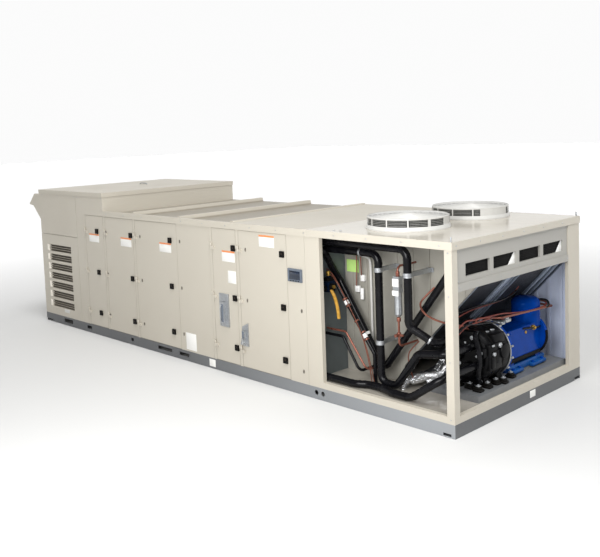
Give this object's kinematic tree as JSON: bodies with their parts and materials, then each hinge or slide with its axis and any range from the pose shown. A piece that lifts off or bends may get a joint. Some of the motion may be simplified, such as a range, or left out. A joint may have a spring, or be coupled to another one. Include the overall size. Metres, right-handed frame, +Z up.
{
  "type": "air handling unit",
  "caption": "Long packaged rooftop air handling unit with hinged access doors, a raised intake box with hood, and an open condensing section with V coil, compressor, pipes and roof fans.",
  "frame": {"origin": "centre of the plan box, the intake hood included, at the underside of the base rails", "axes": "+Z up, +X towards the compressor end, the front with the access doors faces -Y"},
  "size_m": [8.128, 2.394, 2.04],
  "materials": {
    "cabinet_paint": "satin",
    "inner_lining": "satin",
    "base_steel": "satin",
    "mesh_steel": "matte",
    "bulkhead_steel": "satin",
    "coil_fins": "matte",
    "guard_paint": "satin",
    "fan_blade": "matte",
    "zinc_steel": "satin",
    "display_case": "satin",
    "jacket_foam": "matte",
    "blue_paint": "gloss",
    "foil": "bright",
    "copper": "satin"
  },
  "bodies": {
    "unit": {"base_rail_front": "base_steel", "base_rails_back": "base_steel", "base_crossmembers": "base_steel", "air_floor": "inner_lining", "condenser_pan": "base_steel", "hood_end_wall": "cabinet_paint", "louvre_panel": "cabinet_paint", "screens": "mesh_steel", "front_panels": "cabinet_paint", "door_posts": "cabinet_paint", "display": "display_case", "posts": "cabinet_paint", "rear_walls": "cabinet_paint", "air_roof": "cabinet_paint", "raised_box_end": "cabinet_paint", "raised_box_lid": "cabinet_paint", "intake_hood": "cabinet_paint", "bulkhead": "bulkhead_steel", "sill_rails": "cabinet_paint", "end_header": "cabinet_paint", "coil_end_plate": "inner_lining", "condenser_roof": "cabinet_paint", "fan_guards": "guard_paint", "fan_motors": "fan_blade", "coils": "coil_fins", "coil_frames": "bulkhead_steel", "compressor_jacketed": "jacket_foam", "compressor_blue": "blue_paint", "compressor_rails": "zinc_steel", "suction_pipes": "jacket_foam", "insulated_tubes": "jacket_foam", "foil_pipe": "foil", "copper_lines": "copper", "filter_drier": "zinc_steel", "pipe_clamps": "zinc_steel", "valve_body": "blue_paint"},
    "door_1": {"door_1": "cabinet_paint"},
    "door_2": {"door_2": "cabinet_paint"},
    "door_3": {"door_3": "cabinet_paint"},
    "door_4": {"door_4": "cabinet_paint", "disconnect_plate": "zinc_steel"},
    "door_5": {"door_5": "cabinet_paint", "disconnect_lever": "zinc_steel"},
    "fan_front": {"fan_rotor_front": "fan_blade"},
    "fan_rear": {"fan_rotor_rear": "fan_blade"}
  },
  "joints": [
    {"name": "door_1_hinge", "type": "hinge", "parent": "unit", "child": "door_1", "pos_m": [-2.254, -1.184, 0.92], "axis": [0, 0, -1], "range_deg": [0, 90]},
    {"name": "door_2_hinge", "type": "hinge", "parent": "unit", "child": "door_2", "pos_m": [-1.723, -1.184, 0.92], "axis": [0, 0, -1], "range_deg": [0, 90]},
    {"name": "door_3_hinge", "type": "hinge", "parent": "unit", "child": "door_3", "pos_m": [-0.98, -1.184, 0.92], "axis": [0, 0, -1], "range_deg": [0, 90]},
    {"name": "door_4_hinge", "type": "hinge", "parent": "unit", "child": "door_4", "pos_m": [0.652, -1.184, 0.92], "axis": [0, 0, -1], "range_deg": [0, 90]},
    {"name": "door_5_hinge", "type": "hinge", "parent": "unit", "child": "door_5", "pos_m": [1.136, -1.184, 0.92], "axis": [0, 0, -1], "range_deg": [0, 90]},
    {"name": "fan_front_spin", "type": "hinge", "parent": "unit", "child": "fan_front", "pos_m": [3.03, -0.47, 1.75], "axis": [0, 0, 1], "continuous": true},
    {"name": "fan_rear_spin", "type": "hinge", "parent": "unit", "child": "fan_rear", "pos_m": [3.03, 0.645, 1.75], "axis": [0, 0, 1], "continuous": true}
  ]
}
